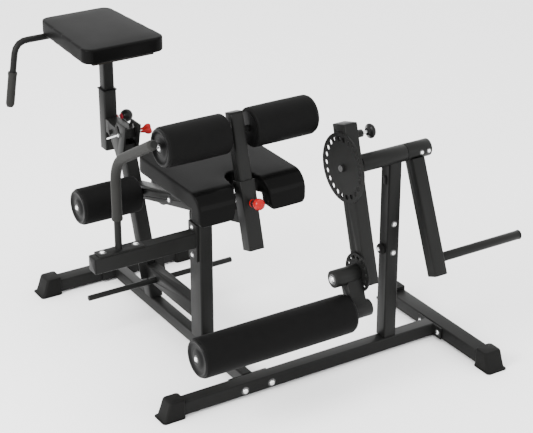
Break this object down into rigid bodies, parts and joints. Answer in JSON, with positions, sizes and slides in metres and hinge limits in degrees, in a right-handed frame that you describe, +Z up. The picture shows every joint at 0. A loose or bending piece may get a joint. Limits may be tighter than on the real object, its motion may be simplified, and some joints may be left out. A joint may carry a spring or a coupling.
{
  "type": "roman chair",
  "caption": "Floor-standing gym machine: notched seat, raised hip pad on a tilting post, thigh and ankle foam rollers, and a swinging leg lever with an index disc and weight horn.",
  "frame": {"origin": "on the floor, under the middle of the bounding box", "axes": "+X to the side with the weight horn, +Y towards the hip pad at the rear, +Z up"},
  "size_m": [1.385, 1.583, 0.966],
  "materials": {
    "frame_paint": "satin black powder coat",
    "pad_vinyl": "soft black vinyl, fine grain",
    "roller_foam": "matte black foam with a smooth skin",
    "foot_rubber": "satin black rubber",
    "grip_rubber": "matte grey grip",
    "bright_steel": "zinc plated steel",
    "red_plastic": "gloss red plastic",
    "black_plastic": "gloss black plastic",
    "board_wood": "raw plywood"
  },
  "bodies": {
    "frame": {"front_floor_bar": "frame_paint", "rear_floor_bar": "frame_paint", "side_floor_bar": "frame_paint", "centre_rail": "frame_paint", "front_foot": "foot_rubber", "rear_foot_left": "foot_rubber", "rear_foot_right": "foot_rubber", "side_foot_front": "foot_rubber", "side_foot_rear": "foot_rubber", "front_post": "frame_paint", "rear_post": "frame_paint", "seat_beam": "frame_paint", "spine_rail": "frame_paint", "peg_rod": "frame_paint", "crossbeam": "frame_paint", "grip_handle": "frame_paint", "grip_handle_sleeve": "grip_rubber", "seat_cushion": "pad_vinyl", "seat_board": "board_wood", "seat_bracket_front": "frame_paint", "seat_bracket_rear": "frame_paint", "thigh_sleeve": "frame_paint", "foot_axle": "bright_steel", "tilt_plate_left": "frame_paint", "tilt_plate_right": "frame_paint", "upright": "frame_paint", "stop_bumper": "foot_rubber", "shaft_housing": "frame_paint", "shaft_bush_left": "bright_steel", "shaft_bush_right": "bright_steel"},
    "shaft": {"main_shaft": "bright_steel", "index_disc": "frame_paint", "weight_lever": "frame_paint", "weight_horn": "bright_steel"},
    "arm": {"swing_arm": "frame_paint", "pivot_bolt": "bright_steel"},
    "arm_pin": {"arm_pin": "black_plastic"},
    "roller_lever": {"roller_hub": "frame_paint", "small_index_disc": "frame_paint", "roller_lever": "frame_paint", "roller_axle": "bright_steel"},
    "long_roller": {"long_roller": "roller_foam"},
    "thigh_post": {"thigh_post": "frame_paint", "thigh_post_cap": "black_plastic", "thigh_axle": "bright_steel"},
    "thigh_pin": {"thigh_pin": "red_plastic"},
    "thigh_roller_left": {"thigh_roller_left": "roller_foam"},
    "thigh_roller_right": {"thigh_roller_right": "roller_foam"},
    "foot_roller_left": {"foot_roller_left": "roller_foam"},
    "foot_roller_right": {"foot_roller_right": "roller_foam"},
    "pad_carrier": {"pad_sleeve": "frame_paint", "tilt_lug": "frame_paint", "tilt_bolt": "bright_steel"},
    "tilt_knob": {"tilt_knob": "red_plastic"},
    "pad_post": {"pad_post": "frame_paint", "pad_board": "board_wood", "hip_pad": "pad_vinyl", "pad_handle": "frame_paint", "pad_handle_sleeve": "grip_rubber"},
    "pad_pin": {"pad_pin": "black_plastic"}
  },
  "joints": [
    {"name": "shaft_swing", "type": "hinge", "parent": "frame", "child": "shaft", "pos_m": [0.2075, -0.4525, 0.7205], "axis": [-1, 0, 0], "range_deg": [0, 95]},
    {"name": "arm_index", "type": "hinge", "parent": "shaft", "child": "arm", "pos_m": [0.2075, -0.4525, 0.7205], "axis": [-1, 0, 0], "range_deg": [-16.36, 49.09]},
    {"name": "arm_pin_pull", "type": "slide", "parent": "arm", "child": "arm_pin", "axis": [1, 0, 0], "range_m": [-0.01, 0.006], "stiffness_N_per_m": 400},
    {"name": "roller_lever_index", "type": "hinge", "parent": "arm", "child": "roller_lever", "pos_m": [0.0525, -0.54784, 0.38581], "axis": [-1, 0, 0], "range_deg": [-51.43, 51.43]},
    {"name": "long_roller_spin", "type": "hinge", "parent": "roller_lever", "child": "long_roller", "pos_m": [-0.2925, -0.5955, 0.277], "axis": [1, 0, 0], "continuous": true},
    {"name": "thigh_post_slide", "type": "slide", "parent": "frame", "child": "thigh_post", "axis": [0, 0.2656, 0.9641], "range_m": [-0.05, 0.075]},
    {"name": "thigh_pin_pull", "type": "slide", "parent": "frame", "child": "thigh_pin", "axis": [0, -0.9641, 0.2656], "range_m": [-0.008, 0.006], "stiffness_N_per_m": 400},
    {"name": "thigh_roller_left_spin", "type": "hinge", "parent": "thigh_post", "child": "thigh_roller_left", "pos_m": [-0.4475, -0.36932, 0.89632], "axis": [1, 0, 0], "continuous": true},
    {"name": "thigh_roller_right_spin", "type": "hinge", "parent": "thigh_post", "child": "thigh_roller_right", "pos_m": [-0.1375, -0.36932, 0.89632], "axis": [1, 0, 0], "continuous": true},
    {"name": "foot_roller_left_spin", "type": "hinge", "parent": "frame", "child": "foot_roller_left", "pos_m": [-0.4475, 0.2495, 0.45462], "axis": [1, 0, 0], "continuous": true},
    {"name": "foot_roller_right_spin", "type": "hinge", "parent": "frame", "child": "foot_roller_right", "pos_m": [-0.1375, 0.2495, 0.45462], "axis": [1, 0, 0], "continuous": true},
    {"name": "pad_tilt", "type": "hinge", "parent": "frame", "child": "pad_carrier", "pos_m": [-0.2925, 0.4595, 0.61], "axis": [-1, 0, 0], "range_deg": [0, 22]},
    {"name": "tilt_knob_turn", "type": "hinge", "parent": "pad_carrier", "child": "tilt_knob", "pos_m": [-0.2125, 0.38958, 0.62233], "axis": [1, 0, 0], "range_deg": [0, 360]},
    {"name": "pad_post_slide", "type": "slide", "parent": "pad_carrier", "child": "pad_post", "axis": [0, 0, 1], "range_m": [-0.05, 0.075]},
    {"name": "pad_pin_pull", "type": "slide", "parent": "pad_carrier", "child": "pad_pin", "axis": [1, 0, 0], "range_m": [-0.008, 0.006], "stiffness_N_per_m": 400}
  ]
}
